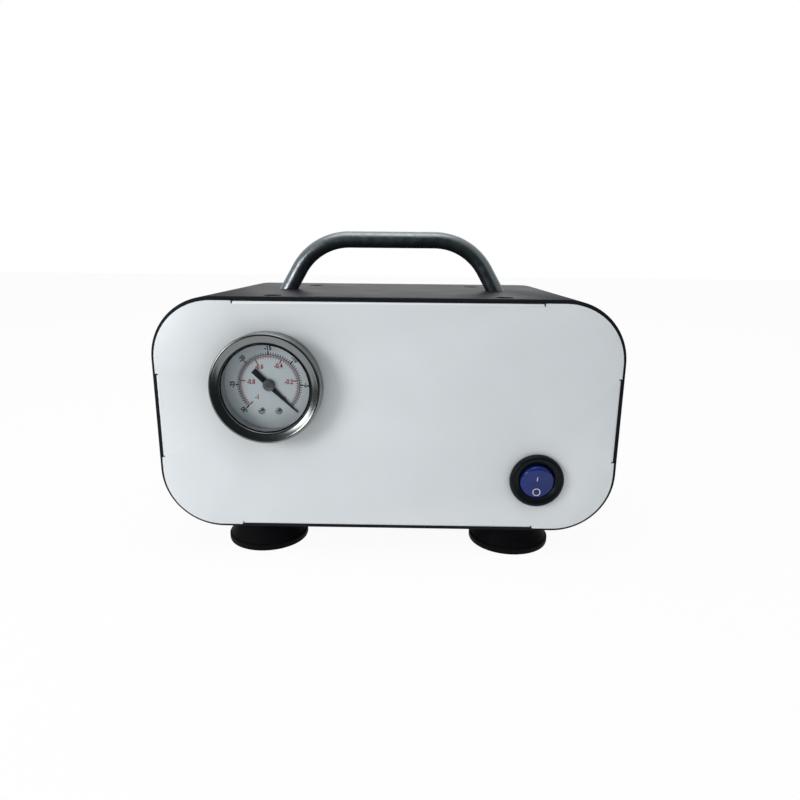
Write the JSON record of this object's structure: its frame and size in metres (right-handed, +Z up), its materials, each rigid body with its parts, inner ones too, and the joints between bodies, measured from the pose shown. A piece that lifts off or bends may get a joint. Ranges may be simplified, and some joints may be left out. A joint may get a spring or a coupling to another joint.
{
  "type": "diaphragm vacuum pump",
  "caption": "Boxed oil-free diaphragm vacuum pump with a front vacuum gauge, round rocker switch, arched carrying handle and rubber feet.",
  "frame": {"origin": "on the surface that the feet stand on, under the middle of the whole pump's outline, port nozzles and gauge ring included", "axes": "+Z up, +X to the right seen from the front, +Y from the front panel to the rear panel"},
  "size_m": [0.195, 0.141, 0.1392],
  "materials": {
    "black_coat": "satin powder coat",
    "white_coat": "semi-gloss white coat",
    "handle_metal": "satin grey bar",
    "steel": "plated steel",
    "polished_steel": "polished stainless ring",
    "rubber": "matte black rubber",
    "hose_rubber": "hose rubber",
    "window_glass": "clear gauge glass",
    "dial_white": "printed white dial",
    "pointer_black": "black pointer",
    "brass": "turned brass",
    "black_plastic": "moulded black plastic",
    "blue_plastic": "deep blue translucent rocker",
    "cast_aluminium": "die-cast aluminium",
    "lamination": "laminated steel",
    "copper": "enamelled copper wire",
    "bronze": "sintered bronze",
    "fuse_glass": "glass fuse",
    "grey_plastic": "grey capacitor case"
  },
  "bodies": {
    "case": {"case_shell": "black_coat", "front_panel": "white_coat", "rear_panel": "white_coat", "handle": "handle_metal", "rubber_feet": "rubber", "base_tray": "steel", "vibration_mounts": "rubber", "gauge_bezel": "polished_steel", "gauge_window": "window_glass", "gauge_can": "steel", "gauge_dial": "dial_white", "gauge_movement": "brass", "gauge_socket": "brass", "gauge_tube": "brass", "gauge_clamp": "steel", "switch_housing": "black_plastic", "switch_terminals": "brass", "inlet_socket": "black_plastic", "inlet_pins": "brass", "suction_fitting": "brass", "exhaust_silencer": "bronze", "port_nuts": "brass", "pump_hoses": "hose_rubber", "gauge_hose": "hose_rubber", "motor_stator": "lamination", "motor_windings": "copper", "main_bearings": "steel", "umbrella_valves": "rubber", "motor_capacitor": "grey_plastic", "left_crankcase": "cast_aluminium", "left_diaphragm": "rubber", "left_valve_plate": "cast_aluminium", "left_head": "cast_aluminium", "right_crankcase": "cast_aluminium", "right_diaphragm": "rubber", "right_valve_plate": "cast_aluminium", "right_head": "cast_aluminium"},
    "rotor": {"motor_shaft": "steel", "rotor_core": "lamination", "left_eccentric": "steel", "right_eccentric": "steel", "cooling_fan": "black_plastic"},
    "left_rod": {"left_rod": "cast_aluminium", "left_rod_bearing": "steel", "left_clamp_disc": "steel"},
    "right_rod": {"right_rod": "cast_aluminium", "right_rod_bearing": "steel", "right_clamp_disc": "steel"},
    "pointer": {"gauge_pointer": "pointer_black"},
    "rocker": {"switch_rocker": "blue_plastic"},
    "drawer": {"fuse_drawer": "black_plastic", "fuse": "fuse_glass"}
  },
  "joints": [
    {"name": "rotor_spin", "type": "hinge", "parent": "case", "child": "rotor", "pos_m": [0, 0.002, 0.054], "axis": [1, 0, 0], "continuous": true},
    {"name": "left_rod_orbit", "type": "hinge", "parent": "rotor", "child": "left_rod", "pos_m": [-0.052, 0.002, 0.0555], "axis": [1, 0, 0], "continuous": true},
    {"name": "right_rod_orbit", "type": "hinge", "parent": "rotor", "child": "right_rod", "pos_m": [0.052, 0.002, 0.0525], "axis": [1, 0, 0], "continuous": true},
    {"name": "pointer_swing", "type": "hinge", "parent": "case", "child": "pointer", "pos_m": [-0.0491, -0.0615, 0.0758], "axis": [0, -1, 0], "range_deg": [0, 270], "stiffness_Nm_per_rad": 0.0002},
    {"name": "rocker_tilt", "type": "hinge", "parent": "case", "child": "rocker", "pos_m": [0.0637, -0.0623, 0.036], "axis": [-1, 0, 0], "range_deg": [0, 16]},
    {"name": "drawer_slide", "type": "slide", "parent": "case", "child": "drawer", "axis": [0, 1, 0], "range_m": [0, 0.018]}
  ],
  "couplings": [
    {"joint": "left_rod_orbit", "follows": "rotor_spin", "ratio": -1},
    {"joint": "right_rod_orbit", "follows": "rotor_spin", "ratio": -1}
  ]
}
